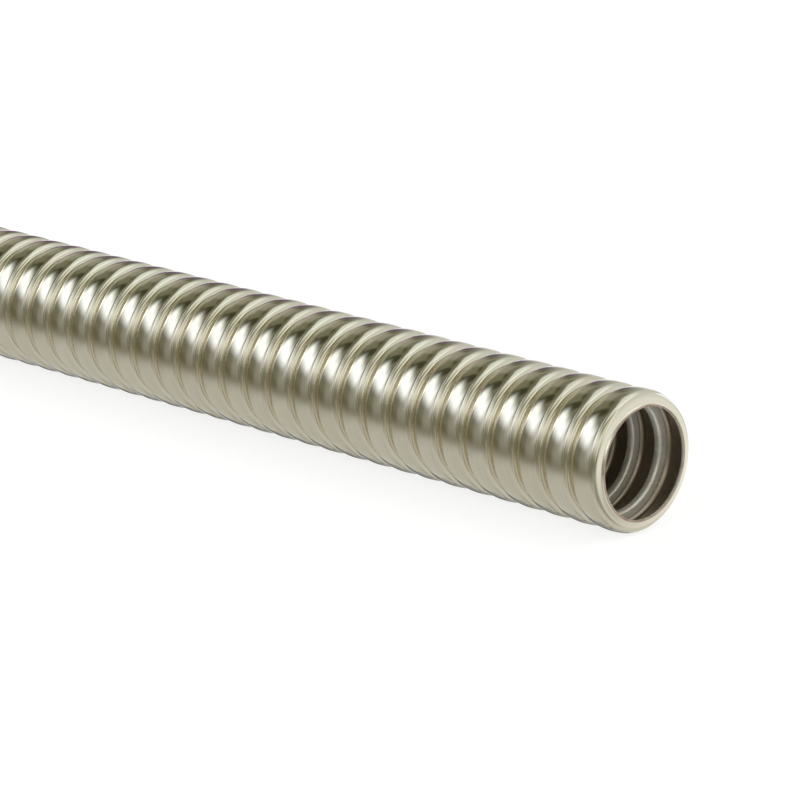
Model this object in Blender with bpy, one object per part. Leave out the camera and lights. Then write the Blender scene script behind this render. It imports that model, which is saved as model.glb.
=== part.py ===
"""A cut length of corrugated stainless steel hose, lying on its side.

The hose is one thin wall. A steel tube is rolled into rings, with wide crests and narrow grooves,
and is cut square across the middle of a groove at both ends. It lies along X with its middle over
the origin, and its crests stand on the plane z = 0. Lengths are in metres.
"""

import math

import bmesh
import bpy

# The hose as a whole
CORRUGATIONS = 30
PITCH = 0.0040  # from one crest to the next

# Diameters over the outside of the wall
CREST_DIAMETER = 0.0160
GROOVE_DIAMETER = 0.0130

# The wall's section along the hose
WALL = 0.00025
CREST_WIDTH = 0.0020  # the level stretch on top of a crest
GROOVE_WIDTH = 0.0007  # the level stretch at the bottom of a groove

# How round the hose is: a facet faces straight down, so that the hose lies still
FACETS = 24
SHARP_EDGE = math.radians(30)

STEEL_COLOUR = (0.70, 0.68, 0.61, 1.0)
STEEL_ROUGHNESS = 0.28


def clear_scene():
    """Removes the objects that a new file starts with."""
    for old in list(bpy.data.objects):
        bpy.data.objects.remove(old)


def steel():
    """The bright drawn stainless steel that the whole hose is made of."""
    material = bpy.data.materials.new("stainless_steel")
    material.use_nodes = True
    shader = material.node_tree.nodes["Principled BSDF"]
    shader.inputs["Base Color"].default_value = STEEL_COLOUR
    shader.inputs["Metallic"].default_value = 1.0
    shader.inputs["Roughness"].default_value = STEEL_ROUGHNESS
    return material


def wall_outline():
    """The outside of the wall from one cut end to the other, as (along, out from the axis)."""
    groove, crest = GROOVE_DIAMETER / 2, CREST_DIAMETER / 2
    start = -CORRUGATIONS * PITCH / 2
    points = [(start, groove)]
    for ring in range(CORRUGATIONS):
        middle = start + (ring + 0.5) * PITCH
        to_groove = (PITCH - GROOVE_WIDTH) / 2
        points += [
            (middle - to_groove, groove),
            (middle - CREST_WIDTH / 2, crest),
            (middle + CREST_WIDTH / 2, crest),
            (middle + to_groove, groove),
        ]
    points.append((-start, groove))
    return points


def turned_skin(name, outline):
    """The outline turned about X, with flat facets that touch the round it stands for."""
    corner = 1 / math.cos(math.pi / FACETS)
    shape = bmesh.new()
    verts = [shape.verts.new((along, 0, out * corner)) for along, out in outline]
    edges = [shape.edges.new(pair) for pair in zip(verts, verts[1:])]
    bmesh.ops.spin(
        shape,
        geom=verts + edges,
        cent=(0, 0, 0),
        axis=(1, 0, 0),
        angle=2 * math.pi,
        steps=FACETS,
        use_merge=True,
    )
    bmesh.ops.recalc_face_normals(shape, faces=shape.faces)
    mesh = bpy.data.meshes.new(name)
    shape.to_mesh(mesh)
    shape.free()
    mesh.shade_smooth()
    mesh.set_sharp_from_angle(angle=SHARP_EDGE)
    return mesh


def hose():
    """The corrugated wall, resting on its crests."""
    mesh = turned_skin("corrugated_hose", wall_outline())
    mesh.materials.append(steel())
    tube = bpy.data.objects.new("corrugated_hose", mesh)
    tube.location.z = CREST_DIAMETER / 2
    tube.rotation_euler.x = math.pi / FACETS
    bpy.context.scene.collection.objects.link(tube)

    sheet = tube.modifiers.new("sheet_thickness", "SOLIDIFY")
    sheet.thickness = WALL
    sheet.offset = -1  # the sheet lies inside the outline
    sheet.use_even_offset = True
    sheet.use_quality_normals = True
    return tube


clear_scene()
hose()
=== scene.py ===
"""The looks of a corrugated stainless steel hose, on a plain pale floor in soft studio light.

One steel tube, rolled into rings, lies along X. Its crests stand on the floor z = 0, and its cut
end at +X faces the camera. Lengths are in metres unless a name says otherwise.
"""

import math

import bpy
from mathutils import Matrix, Vector


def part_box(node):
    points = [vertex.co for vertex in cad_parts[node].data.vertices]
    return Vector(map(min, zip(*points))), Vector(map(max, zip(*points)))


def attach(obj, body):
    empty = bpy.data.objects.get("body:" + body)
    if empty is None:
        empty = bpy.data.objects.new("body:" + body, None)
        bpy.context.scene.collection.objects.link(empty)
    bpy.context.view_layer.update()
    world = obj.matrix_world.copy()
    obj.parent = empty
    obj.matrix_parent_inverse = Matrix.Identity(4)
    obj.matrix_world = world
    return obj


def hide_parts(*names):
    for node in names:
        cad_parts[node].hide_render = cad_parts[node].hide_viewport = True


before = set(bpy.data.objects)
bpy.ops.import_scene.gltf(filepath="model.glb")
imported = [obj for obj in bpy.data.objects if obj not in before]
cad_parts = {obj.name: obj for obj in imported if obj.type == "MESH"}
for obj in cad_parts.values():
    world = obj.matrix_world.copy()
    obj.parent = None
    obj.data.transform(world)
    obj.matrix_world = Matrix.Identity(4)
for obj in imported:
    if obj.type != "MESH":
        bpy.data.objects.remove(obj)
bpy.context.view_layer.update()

# The hose, whose overall sizes come from the frame
HOSE_LOW, HOSE_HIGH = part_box("corrugated_hose")
CREST_RADIUS = (HOSE_HIGH.z - HOSE_LOW.z) / 2
AXIS_HEIGHT = (HOSE_HIGH.z + HOSE_LOW.z) / 2
LENGTH = HOSE_HIGH.x - HOSE_LOW.x
RINGS = 30
PITCH = LENGTH / RINGS
GROOVE_RADIUS = 0.0065
WALL = 0.00025

# The section of one ring
GROOVE_LEVEL = 0.00022  # width of the level bottom of a groove
GROOVE_BEND = 0.00015  # radius on both sides of it
SHOULDER_BEND = 0.00090  # radius at a crest's shoulders
FLANK_LEAN = math.radians(3)  # of a flank from square
CREST_DOME = 0.00006  # how far the level top of a crest bulges
GROOVE_STEPS = 3
SHOULDER_STEPS = 5
CREST_STEPS = 2
TURNS = 68  # faces round the hose

# The cut ends
CUT_EDGE_ROUND = 0.00004

# Tolerances of the modelling
MERGE_DISTANCE = 0.000005  # joins the rings where they meet
ON_THE_CUT = 0.000001  # how near a point of the cut lies to the hose's end
SMOOTH_UP_TO = math.radians(40)  # the cut edges stay crisp


def deselect_all():
    """Operators act on all that is selected, and the frame's own parts start selected."""
    bpy.ops.object.select_all(action="DESELECT")


def half_ring():
    """The outside of half a ring, from the bottom of a groove to the top of a crest.

    Each point is (along, out from the axis), and along starts at 0.
    """
    turn = math.pi / 2 - FLANK_LEAN
    points = [(0, GROOVE_RADIUS)]
    for step in range(GROOVE_STEPS + 1):
        t = turn * step / GROOVE_STEPS
        along = GROOVE_LEVEL / 2 + GROOVE_BEND * math.sin(t)
        points.append((along, GROOVE_RADIUS + GROOVE_BEND * (1 - math.cos(t))))

    level = CREST_RADIUS - CREST_DOME
    flank_top = level - SHOULDER_BEND * (1 - math.cos(turn))
    flank_end = points[-1][0] + (flank_top - points[-1][1]) * math.tan(FLANK_LEAN)
    shoulder_end = flank_end + SHOULDER_BEND * math.sin(turn)
    for step in range(SHOULDER_STEPS + 1):
        t = turn * (1 - step / SHOULDER_STEPS)
        along = shoulder_end - SHOULDER_BEND * math.sin(t)
        points.append((along, level - SHOULDER_BEND * (1 - math.cos(t))))

    for step in range(1, CREST_STEPS + 1):
        t = step / CREST_STEPS
        along = shoulder_end + (PITCH / 2 - shoulder_end) * t
        points.append((along, level + CREST_DOME * (1 - (1 - t) ** 2)))
    return points


def ring_outline():
    """The outside of a whole ring, groove to groove."""
    rising = half_ring()
    falling = [(PITCH - along, out) for along, out in reversed(rising[:-1])]
    return rising + falling


def rolled_tube(finishes):
    """The corrugated tube: a circle is drawn out into one ring, which repeats along the hose.

    The finishes are those of the outside, the inside and the cut edges.
    """
    deselect_all()
    outline = ring_outline()
    bpy.ops.mesh.primitive_circle_add(
        vertices=TURNS,
        radius=outline[0][1],
        fill_type="NOTHING",
        location=(HOSE_LOW.x, 0, AXIS_HEIGHT),
        rotation=(0, math.pi / 2, 0),
    )
    tube = bpy.context.object
    tube.name = tube.data.name = "rolled_hose"
    for finish in finishes:
        tube.data.materials.append(finish)
    bpy.ops.object.transform_apply(location=True, rotation=True, scale=True)

    bpy.ops.object.mode_set(mode="EDIT")
    bpy.ops.mesh.select_all(action="SELECT")
    for (along, out), (next_along, next_out) in zip(outline, outline[1:]):
        step_along = (next_along - along, 0, 0)
        bpy.ops.mesh.extrude_edges_move(TRANSFORM_OT_translate={"value": step_along})
        grow = next_out / out
        bpy.ops.transform.resize(value=(1, grow, grow), center_override=(0, 0, AXIS_HEIGHT))
    bpy.ops.object.mode_set(mode="OBJECT")

    row = tube.modifiers.new("rings", "ARRAY")
    row.count = RINGS
    row.use_relative_offset = False
    row.use_constant_offset = True
    row.constant_offset_displace = (PITCH, 0, 0)
    row.use_merge_vertices = True
    row.merge_threshold = MERGE_DISTANCE
    bpy.ops.object.modifier_apply(modifier=row.name)

    bpy.ops.object.mode_set(mode="EDIT")
    bpy.ops.mesh.select_all(action="SELECT")
    bpy.ops.mesh.remove_doubles(threshold=MERGE_DISTANCE)
    bpy.ops.mesh.normals_make_consistent(inside=False)
    bpy.ops.object.mode_set(mode="OBJECT")

    sheet = tube.modifiers.new("sheet", "SOLIDIFY")
    sheet.thickness = WALL
    sheet.offset = -1
    sheet.use_even_offset = True
    sheet.material_offset = 1
    sheet.material_offset_rim = 2
    bpy.ops.object.modifier_apply(modifier=sheet.name)
    return tube


def break_cut_edges(tube):
    """Takes the sharpness off both edges of both cuts, as a deburring tool does."""

    def on_a_cut(place):
        return min(abs(place.x - HOSE_LOW.x), abs(place.x - HOSE_HIGH.x)) < ON_THE_CUT

    def out_from_axis(place):
        return math.hypot(place.y, place.z - AXIS_HEIGHT)

    bpy.ops.object.mode_set(mode="EDIT")
    bpy.ops.mesh.select_mode(type="EDGE")
    bpy.ops.mesh.select_all(action="DESELECT")
    bpy.ops.object.mode_set(mode="OBJECT")
    for edge in tube.data.edges:
        start, end = (tube.data.vertices[v].co for v in edge.vertices)
        goes_round = abs(out_from_axis(start) - out_from_axis(end)) < WALL / 4
        edge.select = on_a_cut(start) and on_a_cut(end) and goes_round
    bpy.ops.object.mode_set(mode="EDIT")
    bpy.ops.mesh.bevel(offset=CUT_EDGE_ROUND, segments=2, profile=0.5)
    bpy.ops.object.mode_set(mode="OBJECT")


# Nodes

def add_node(tree, kind, inputs=None, **settings):
    """Adds a node, sets its options, and gives its inputs a value or a link."""
    added = tree.nodes.new(kind)
    for name, value in settings.items():
        setattr(added, name, value)
    for name, value in (inputs or {}).items():
        if isinstance(value, bpy.types.NodeSocket):
            tree.links.new(value, added.inputs[name])
        else:
            added.inputs[name].default_value = value
    return added


def calculate(tree, operation, *values):
    """The result of one step of arithmetic on numbers or sockets."""
    step = add_node(tree, "ShaderNodeMath", dict(enumerate(values)), operation=operation)
    return step.outputs[0]


def fade(tree, value, low, high, to_low=0.0, to_high=1.0):
    """A value turned into another, with a soft start and end."""
    inputs = {
        "Value": value, "From Min": low, "From Max": high, "To Min": to_low, "To Max": to_high,
    }
    ramp = add_node(tree, "ShaderNodeMapRange", inputs, interpolation_type="SMOOTHSTEP")
    return ramp.outputs["Result"]


def mix_colours(tree, amount, first, second):
    """The first colour, with this amount of the second over it."""
    mix = add_node(tree, "ShaderNodeMix", data_type="RGBA")
    sockets = (mix.inputs[0], mix.inputs[6], mix.inputs[7])  # the amount and both colours
    for socket, value in zip(sockets, (amount, first, second)):
        if isinstance(value, bpy.types.NodeSocket):
            tree.links.new(value, socket)
        else:
            socket.default_value = value
    return mix.outputs[2]


def new_group(name, inputs, outputs):
    """A node group with named number sockets, and where they come in and go out."""
    group = bpy.data.node_groups.new(name, "ShaderNodeTree")
    for socket in inputs:
        group.interface.new_socket(socket, in_out="INPUT", socket_type="NodeSocketFloat")
    for socket in outputs:
        group.interface.new_socket(socket, in_out="OUTPUT", socket_type="NodeSocketFloat")
    given = group.nodes.new("NodeGroupInput").outputs
    made = group.nodes.new("NodeGroupOutput").inputs
    return group, given, made


def use_group(tree, group, **inputs):
    """Puts a group to use. Its sockets are named as here, with spaces and capitals."""
    named = {name.replace("_", " ").title(): value for name, value in inputs.items()}
    return add_node(tree, "ShaderNodeGroup", named, node_tree=group).outputs


MILLIMETRES = 1000  # in a metre


def hose_place_group():
    """Where a point is on the hose: along it, and out from its axis, in millimetres."""
    group, _, made = new_group("hose_place", (), ("Along", "Out"))
    place = add_node(group, "ShaderNodeTexCoord").outputs["Object"]
    split = add_node(group, "ShaderNodeSeparateXYZ", {"Vector": place}).outputs
    above_axis = calculate(group, "SUBTRACT", split["Z"], AXIS_HEIGHT)
    squares = calculate(group, "ADD", calculate(group, "POWER", split["Y"], 2),
                        calculate(group, "POWER", above_axis, 2))
    out = calculate(group, "SQRT", squares)
    group.links.new(calculate(group, "MULTIPLY", split["X"], MILLIMETRES), made["Along"])
    group.links.new(calculate(group, "MULTIPLY", out, MILLIMETRES), made["Out"])
    return group


LINES_DOWN_FLANK = 0.9  # how fast the lines follow each other on a flank, against on a crest
LINE_DRIFT = 90  # how soon a line fades or grows on its way round the hose


def rolling_lines_group(hose_place):
    """Fine lines that the rollers leave round the tube, on the crests and the flanks alike."""
    group, given, made = new_group("rolling_lines", ("Spacing",), ("Lines",))
    at = use_group(group, hose_place)
    down_flank = calculate(group, "MULTIPLY", at["Out"], LINES_DOWN_FLANK)
    over_wall = calculate(group, "ADD", at["Along"], down_flank)
    place = add_node(group, "ShaderNodeTexCoord").outputs["Object"]
    split = add_node(group, "ShaderNodeSeparateXYZ", {"Vector": place}).outputs
    along = calculate(group, "DIVIDE", over_wall, given["Spacing"])
    drift = [calculate(group, "MULTIPLY", split[axis], LINE_DRIFT) for axis in "YZ"]
    spread = {"X": along, "Y": drift[0], "Z": drift[1]}
    vector = add_node(group, "ShaderNodeCombineXYZ", spread).outputs[0]
    inputs = {"Vector": vector, "Scale": 1.0, "Detail": 2.0}
    group.links.new(add_node(group, "ShaderNodeTexNoise", inputs).outputs[0], made["Lines"])
    return group


SMUDGE_EDGE = 0.25  # how softly a smudge ends, as a share of the noise that makes it
SPECK_EDGE = 0.08


def smudges_group():
    """Patches where hands and the rollers' oil have dulled the steel."""
    group, given, made = new_group("smudges", ("Size", "Cover"), ("Smudge",))
    place = add_node(group, "ShaderNodeTexCoord").outputs["Object"]
    scale = calculate(group, "DIVIDE", 1.0, given["Size"])
    inputs = {"Vector": place, "Scale": scale, "Detail": 4.0, "Roughness": 0.6, "Distortion": 0.4}
    noise = add_node(group, "ShaderNodeTexNoise", inputs).outputs[0]
    start = calculate(group, "SUBTRACT", 0.75, given["Cover"])
    end = calculate(group, "ADD", start, SMUDGE_EDGE)
    group.links.new(fade(group, noise, start, end), made["Smudge"])
    return group


def ring_tint_group(hose_place):
    """A number from 0 to 1 for each ring, because no two were rolled quite alike."""
    group, _, made = new_group("ring_tint", (), ("Tint",))
    at = use_group(group, hose_place)
    ring = calculate(group, "FLOOR", calculate(group, "DIVIDE", at["Along"], PITCH * MILLIMETRES))
    noise = add_node(group, "ShaderNodeTexWhiteNoise", {"W": ring}, noise_dimensions="1D")
    group.links.new(noise.outputs["Value"], made["Tint"])
    return group


def specks_group():
    """Tiny dark specks of grit and oil."""
    group, given, made = new_group("specks", ("Size", "Cover"), ("Speck",))
    place = add_node(group, "ShaderNodeTexCoord").outputs["Object"]
    scale = calculate(group, "DIVIDE", 1.0, given["Size"])
    inputs = {"Vector": place, "Scale": scale, "Detail": 1.0}
    noise = add_node(group, "ShaderNodeTexNoise", inputs).outputs[0]
    start = calculate(group, "SUBTRACT", 0.8, given["Cover"])
    end = calculate(group, "ADD", start, SPECK_EDGE)
    group.links.new(fade(group, noise, start, end), made["Speck"])
    return group


# Steel

DULL_RING = (0.625, 0.605, 0.525, 1)
PALE_RING = (0.655, 0.64, 0.57, 1)
SMUDGED_STEEL = (0.60, 0.565, 0.47, 1)
LINED_STEEL = (0.45, 0.42, 0.34, 1)
# Paler, warmer steel in the grooves is painted light: it lifts the shade that falls in them and
# warms what they mirror.
PAINTED_LIGHT_GROOVE_STEEL = (0.88, 0.85, 0.765, 1)
GRIT = (0.25, 0.21, 0.15, 1)
# The bore's ridges are painted pale, as painted light where the light from the opening falls on
# them. Its hollows are painted dark brown, as painted shade.
PAINTED_LIGHT_RIDGE = (0.90, 0.88, 0.83, 1)
PAINTED_SHADE_HOLLOW = (0.31, 0.255, 0.195, 1)
FILM_PATCH = (0.30, 0.24, 0.18, 1)
SAWN_STEEL = (0.52, 0.43, 0.36, 1)
BURNT_STEEL = (0.36, 0.25, 0.20, 1)
SAW_MARK = (0.66, 0.60, 0.52, 1)

# Where a finish, or the painted light and shade, changes, in millimetres out from the axis
GROOVE_TO_CREST = (7.0, 7.9)
RUBBED_FROM = (6.6, 7.6)
RIDGE_TO_HOLLOW = (7.05, 7.65)


def new_material(name, metallic=1.0):
    """A material, its nodes and its shader."""
    material = bpy.data.materials.new(name)
    material.use_nodes = True
    shader = material.node_tree.nodes["Principled BSDF"]
    shader.inputs["Metallic"].default_value = metallic
    return material, material.node_tree, shader


def bump(tree, shader, height, strength, distance=0.00002):
    """Raises what the height says on the surface."""
    inputs = {"Height": height, "Strength": strength, "Distance": distance}
    raised = add_node(tree, "ShaderNodeBump", inputs).outputs["Normal"]
    tree.links.new(raised, shader.inputs["Normal"])


def outside_steel(effects):
    """Bright rolled steel: grooves painted paler and warmer as painted light, rubbed crests, fine
    lines, smudges and specks.
    """
    material, tree, shader = new_material("rolled_steel")
    at = use_group(tree, effects["hose_place"])
    lines = use_group(tree, effects["rolling_lines"], spacing=0.22)["Lines"]
    smudge = use_group(tree, effects["smudges"], size=0.009, cover=0.22)["Smudge"]
    tint = use_group(tree, effects["ring_tint"])["Tint"]
    speck = use_group(tree, effects["specks"], size=0.0005, cover=0.04)["Speck"]

    colour = mix_colours(tree, tint, DULL_RING, PALE_RING)
    colour = mix_colours(tree, calculate(tree, "MULTIPLY", smudge, 0.5), colour, SMUDGED_STEEL)
    colour = mix_colours(tree, fade(tree, lines, 0.3, 0.7, 0.12, 0.0), colour, LINED_STEEL)
    # Painted light: the grooves get the paler, warmer steel.
    in_groove = fade(tree, at["Out"], *GROOVE_TO_CREST, 1.0, 0.0)
    colour = mix_colours(tree, in_groove, colour, PAINTED_LIGHT_GROOVE_STEEL)
    colour = mix_colours(tree, calculate(tree, "MULTIPLY", speck, 0.3), colour, GRIT)
    tree.links.new(colour, shader.inputs["Base Color"])

    rough = calculate(tree, "ADD", fade(tree, at["Out"], *RUBBED_FROM, 0.20, 0.12),
                      calculate(tree, "MULTIPLY", smudge, 0.05))
    rough = calculate(tree, "ADD", rough, fade(tree, lines, 0.3, 0.7, 0.03, 0.0))
    tree.links.new(rough, shader.inputs["Roughness"])
    bump(tree, shader, lines, 0.10)
    return material


def bore_steel(effects):
    """The inside: duller, with ridges painted pale as painted light and hollows painted dark
    brown as painted shade.
    """
    material, tree, shader = new_material("bore_steel")
    at = use_group(tree, effects["hose_place"])
    lines = use_group(tree, effects["rolling_lines"], spacing=0.3)["Lines"]
    smudge = use_group(tree, effects["smudges"], size=0.004, cover=0.3)["Smudge"]

    # Painted light and shade: pale on the ridges, dark brown in the hollows.
    in_hollow = fade(tree, at["Out"], *RIDGE_TO_HOLLOW)
    colour = mix_colours(tree, in_hollow, PAINTED_LIGHT_RIDGE, PAINTED_SHADE_HOLLOW)
    colour = mix_colours(tree, calculate(tree, "MULTIPLY", smudge, 0.3), colour, FILM_PATCH)
    tree.links.new(colour, shader.inputs["Base Color"])
    tree.links.new(fade(tree, at["Out"], *RIDGE_TO_HOLLOW, 0.45, 1.0), shader.inputs["Metallic"])
    rough = calculate(tree, "ADD", fade(tree, at["Out"], *RIDGE_TO_HOLLOW, 0.25, 0.3),
                      calculate(tree, "MULTIPLY", smudge, 0.1))
    tree.links.new(rough, shader.inputs["Roughness"])
    bump(tree, shader, lines, 0.12)
    return material


def cut_steel(effects):
    """The sawn edge of the wall: browned by the heat of the cut, with the saw's marks."""
    material, tree, shader = new_material("cut_edge")
    smudge = use_group(tree, effects["smudges"], size=0.002, cover=0.35)["Smudge"]
    place = add_node(tree, "ShaderNodeTexCoord").outputs["Object"]
    inputs = {"Vector": place, "Scale": 2400.0, "Distortion": 3.0}
    marks = add_node(tree, "ShaderNodeTexWave", inputs, bands_direction="Z").outputs["Fac"]
    colour = mix_colours(tree, smudge, SAWN_STEEL, BURNT_STEEL)
    colour = mix_colours(tree, calculate(tree, "MULTIPLY", marks, 0.2), colour, SAW_MARK)
    tree.links.new(colour, shader.inputs["Base Color"])
    tree.links.new(fade(tree, marks, 0.0, 1.0, 0.42, 0.30), shader.inputs["Roughness"])
    bump(tree, shader, marks, 0.15)
    return material


def steel_finishes():
    """The three finishes, in the order in which the tube's material slots take them."""
    hose_place = hose_place_group()
    effects = {
        "hose_place": hose_place,
        "rolling_lines": rolling_lines_group(hose_place),
        "smudges": smudges_group(),
        "ring_tint": ring_tint_group(hose_place),
        "specks": specks_group(),
    }
    return [outside_steel(effects), bore_steel(effects), cut_steel(effects)]


hose = rolled_tube(steel_finishes())
break_cut_edges(hose)
bpy.ops.object.shade_smooth_by_angle(angle=SMOOTH_UP_TO)
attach(hose, "root")
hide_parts("corrugated_hose")


# Floor

FLOOR_SIZE = 8
FLOOR_COLOUR = (0.36, 0.365, 0.385, 1)
FLOOR_GLOW = 0.78  # lifts the paper to the photograph's white


def pale_floor():
    """A plain white floor. The steel mirrors the paper among the studio's lights, and not it."""
    deselect_all()
    bpy.ops.mesh.primitive_plane_add(size=FLOOR_SIZE, location=(0, 0, 0))
    floor = bpy.context.object
    floor.name = floor.data.name = "pale_floor"
    material, _, white = new_material("floor_paper", metallic=0.0)
    white.inputs["Base Color"].default_value = FLOOR_COLOUR
    white.inputs["Roughness"].default_value = 0.9
    white.inputs["Specular IOR Level"].default_value = 0.0
    white.inputs["Emission Color"].default_value = (1, 1, 1, 1)
    white.inputs["Emission Strength"].default_value = FLOOR_GLOW
    floor.data.materials.append(material)
    floor.visible_glossy = False


pale_floor()


# Light

ROOM = (0.23, 0.22, 0.15)
DARKEST = 0.03  # a black card is never blacker than this
# Each light: azimuth and elevation of its middle, half width and half height, rise of its
# middle per degree of azimuth, soft edge, colour and strength. The angles are in degrees, with
# azimuth 0 at +X and 90 at +Y. A negative strength is a black card. Another program's
# least-squares fit to the highlights that the photograph shows on the rings gave these rows and
# ROOM. They are rounded, and some were then changed.
LIGHTS = {
    "key": ((-145, 30), (23, 12), 0.0, 9, (0.91, 0.95, 1.06), 1.6),
    "key_top": ((-157, 38), (11, 5), 0.1, 3, (1.0, 1.0, 0.65), 0.3),
    "key_cream": ((168, 5), (23, 5), 0.5, 9, (1.0, 0.98, 0.82), 3.3),
    "fill": ((-87, 34), (31, 13), 0.5, 10, (0.93, 0.96, 1.0), 0.58),
    "fill_low": ((-118, 8), (19, 21), 0.0, 7, (1.0, 0.97, 1.0), 0.15),
    "warm_side": ((-51, 25), (29, 10), -0.2, 16, (1.0, 1.0, 0.97), 0.93),
    "ceiling": ((43, 85), (100, 32), 0.0, 10, (0.95, 1.0, 0.96), 0.8),
    "backdrop": ((69, 17), (61, 42), -0.1, 11, (0.98, 1.0, 1.0), 0.57),
    "right_low": ((-6, 23), (19, 21), 0.2, 3, (1.0, 0.98, 0.75), 0.55),
    "behind_low": ((129, -28), (36, 38), 0.7, 4, (1.0, 0.98, 0.85), 0.28),
    "streak": ((-100, 46), (12, 5), -2.0, 15, (0.92, 0.96, 1.0), 2.9),
    "dark_above": ((-178, 47), (23, 13), 0.2, 3, (1.0, 0.95, 0.86), -0.17),
    "dark_front": ((-133, -14), (47, 7), -0.1, 6, (0.9, 0.97, 0.95), -0.11),
    "paper": ((15, -54), (200, 35), 0.0, 16, (1.0, 0.98, 0.97), 0.46),
    "under": ((126, -56), (31, 18), 0.7, 3, (1.0, 0.96, 0.74), -0.5),
    "upper_back": ((145, 30), (36, 11), 0.5, 3, (1.0, 0.96, 0.82), 0.19),
    "haze": ((116, -2), (42, 11), -0.4, 3, (0.68, 0.70, 1.0), 0.72),
    "dark_horizon": ((144, -31), (27, 11), 0.1, 5, (1.0, 0.98, 0.97), -0.26),
    "mauve_card": ((145, 10), (12, 6), 0.0, 3, (0.75, 1.0, 0.35), -0.33),
    "grey_card": ((130, 23), (13, 11), 0.0, 4, (1.0, 0.95, 0.82), -0.26),
    "under_right": ((10, -32), (31, 11), 0.0, 9, (1.0, 0.97, 0.97), -0.34),
    "low_left": ((-53, -26), (25, 13), -0.2, 3, (0.92, 0.93, 1.0), -0.14),
}


def light_mask_group():
    """How much of one soft light a direction falls on, from 0 to 1."""
    sockets = ("Azimuth", "Elevation", "Middle Azimuth", "Middle Elevation",
               "Half Width", "Half Height", "Slope", "Soft Edge")
    group, given, made = new_group("light_mask", sockets, ("Mask",))
    across = calculate(group, "SUBTRACT", given["Azimuth"], given["Middle Azimuth"])
    across = calculate(group, "WRAP", across, 180, -180)
    rise = calculate(group, "MULTIPLY", across, given["Slope"])
    along = calculate(group, "SUBTRACT", given["Elevation"], given["Middle Elevation"])
    along = calculate(group, "ABSOLUTE", calculate(group, "SUBTRACT", along, rise))
    across = calculate(group, "ABSOLUTE", across)
    masks = []
    for distance, half in ((across, given["Half Width"]), (along, given["Half Height"])):
        inner = calculate(group, "SUBTRACT", half, given["Soft Edge"])
        outer = calculate(group, "ADD", half, given["Soft Edge"])
        masks.append(fade(group, distance, inner, outer, 1.0, 0.0))
    group.links.new(calculate(group, "MULTIPLY", *masks), made["Mask"])
    return group


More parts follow.
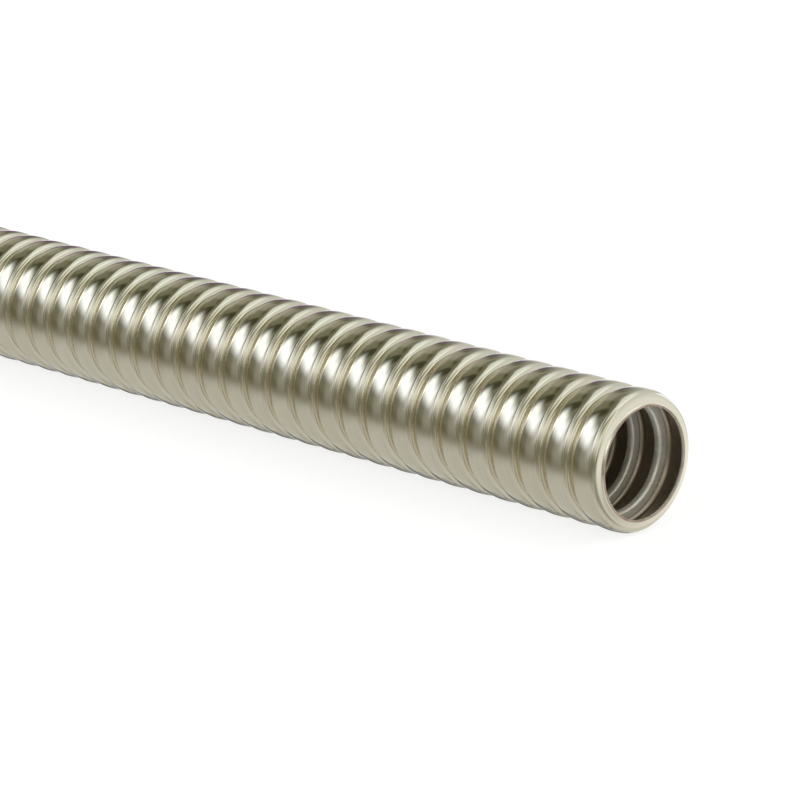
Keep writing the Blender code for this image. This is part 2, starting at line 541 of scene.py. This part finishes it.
def studio_world():
    """Soft lights in a dim room, and a white backdrop for the camera alone."""
    world = bpy.data.worlds.new("studio")
    bpy.context.scene.world = world
    world.use_nodes = True
    tree = world.node_tree
    tree.nodes.clear()

    direction = add_node(tree, "ShaderNodeTexCoord").outputs["Generated"]
    split = add_node(tree, "ShaderNodeSeparateXYZ", {"Vector": direction}).outputs
    azimuth = calculate(tree, "DEGREES", calculate(tree, "ARCTAN2", split["Y"], split["X"]))
    elevation = calculate(tree, "DEGREES", calculate(tree, "ARCSINE", split["Z"]))

    mask_group = light_mask_group()
    total = add_node(tree, "ShaderNodeCombineXYZ", dict(enumerate(ROOM))).outputs[0]
    for name, (middle, half, slope, soft, colour, strength) in LIGHTS.items():
        mask = use_group(
            tree, mask_group, azimuth=azimuth, elevation=elevation,
            middle_azimuth=middle[0], middle_elevation=middle[1],
            half_width=half[0], half_height=half[1], slope=slope, soft_edge=soft,
        )["Mask"]
        colour_node = add_node(tree, "ShaderNodeCombineXYZ", dict(enumerate(colour)), label=name)
        shine = add_node(tree, "ShaderNodeVectorMath", {
            0: colour_node.outputs[0],
            "Scale": calculate(tree, "MULTIPLY", mask, strength),
        }, operation="SCALE")
        total = add_node(tree, "ShaderNodeVectorMath", {0: total, 1: shine.outputs["Vector"]})
        total = total.outputs["Vector"]

    inputs = {0: total, 1: (DARKEST,) * 3}
    never_black = add_node(tree, "ShaderNodeVectorMath", inputs, operation="MAXIMUM")
    light = add_node(tree, "ShaderNodeBackground", {"Color": never_black.outputs["Vector"]})
    backdrop = add_node(tree, "ShaderNodeBackground", {"Color": (1, 1, 1, 1)})
    path = add_node(tree, "ShaderNodeLightPath")
    either = add_node(tree, "ShaderNodeMixShader", {
        "Fac": path.outputs["Is Camera Ray"],
        1: light.outputs["Background"],
        2: backdrop.outputs["Background"],
    })
    add_node(tree, "ShaderNodeOutputWorld", {"Surface": either.outputs["Shader"]})


studio_world()


# Camera

CAMERA_TURN = math.radians(47.8)
CAMERA_LIFT = math.radians(15.9)
CAMERA_DISTANCE = 0.4147
FOCAL_PIXELS = 3850
IMAGE_SIDE = 800
END_PIXEL = (644.9, 463.4)  # where the middle of the cut end falls
SENSOR_WIDTH = 36  # millimetres
CLIP_START = 0.01


def photo_camera():
    """A level camera that looks at the cut end, placed where it falls in the photograph."""
    data = bpy.data.cameras.new("camera")
    data.sensor_width = SENSOR_WIDTH
    data.lens = FOCAL_PIXELS * SENSOR_WIDTH / IMAGE_SIDE
    data.clip_start = CLIP_START
    camera = bpy.data.objects.new("camera", data)
    bpy.context.scene.collection.objects.link(camera)
    bpy.context.scene.camera = camera

    back = Vector((
        math.cos(CAMERA_TURN) * math.cos(CAMERA_LIFT),
        -math.sin(CAMERA_TURN) * math.cos(CAMERA_LIFT),
        math.sin(CAMERA_LIFT),
    ))
    end = Vector((HOSE_HIGH.x, 0, AXIS_HEIGHT))
    right_of_axis = (END_PIXEL[0] - IMAGE_SIDE / 2) / FOCAL_PIXELS
    above_axis = (IMAGE_SIDE / 2 - END_PIXEL[1]) / FOCAL_PIXELS
    toward_end = -back
    reach = math.sqrt(right_of_axis ** 2 + above_axis ** 2 + 1)
    steepness = math.acos(toward_end.z * reach / math.hypot(above_axis, 1))
    dip = steepness - math.atan2(1, above_axis)
    depth = above_axis * math.sin(dip) + math.cos(dip)
    heading = math.atan2(toward_end.y, toward_end.x) + math.atan2(right_of_axis, depth)
    ahead = Vector((math.cos(heading), math.sin(heading), 0))
    right = Vector((ahead.y, -ahead.x, 0))
    forward = ahead * math.cos(dip) - Vector((0, 0, 1)) * math.sin(dip)
    up = right.cross(forward)
    turned = Matrix((right, up, -forward)).transposed().to_4x4()
    camera.matrix_world = Matrix.Translation(end + back * CAMERA_DISTANCE) @ turned


photo_camera()
bpy.context.scene.view_settings.view_transform = "Standard"
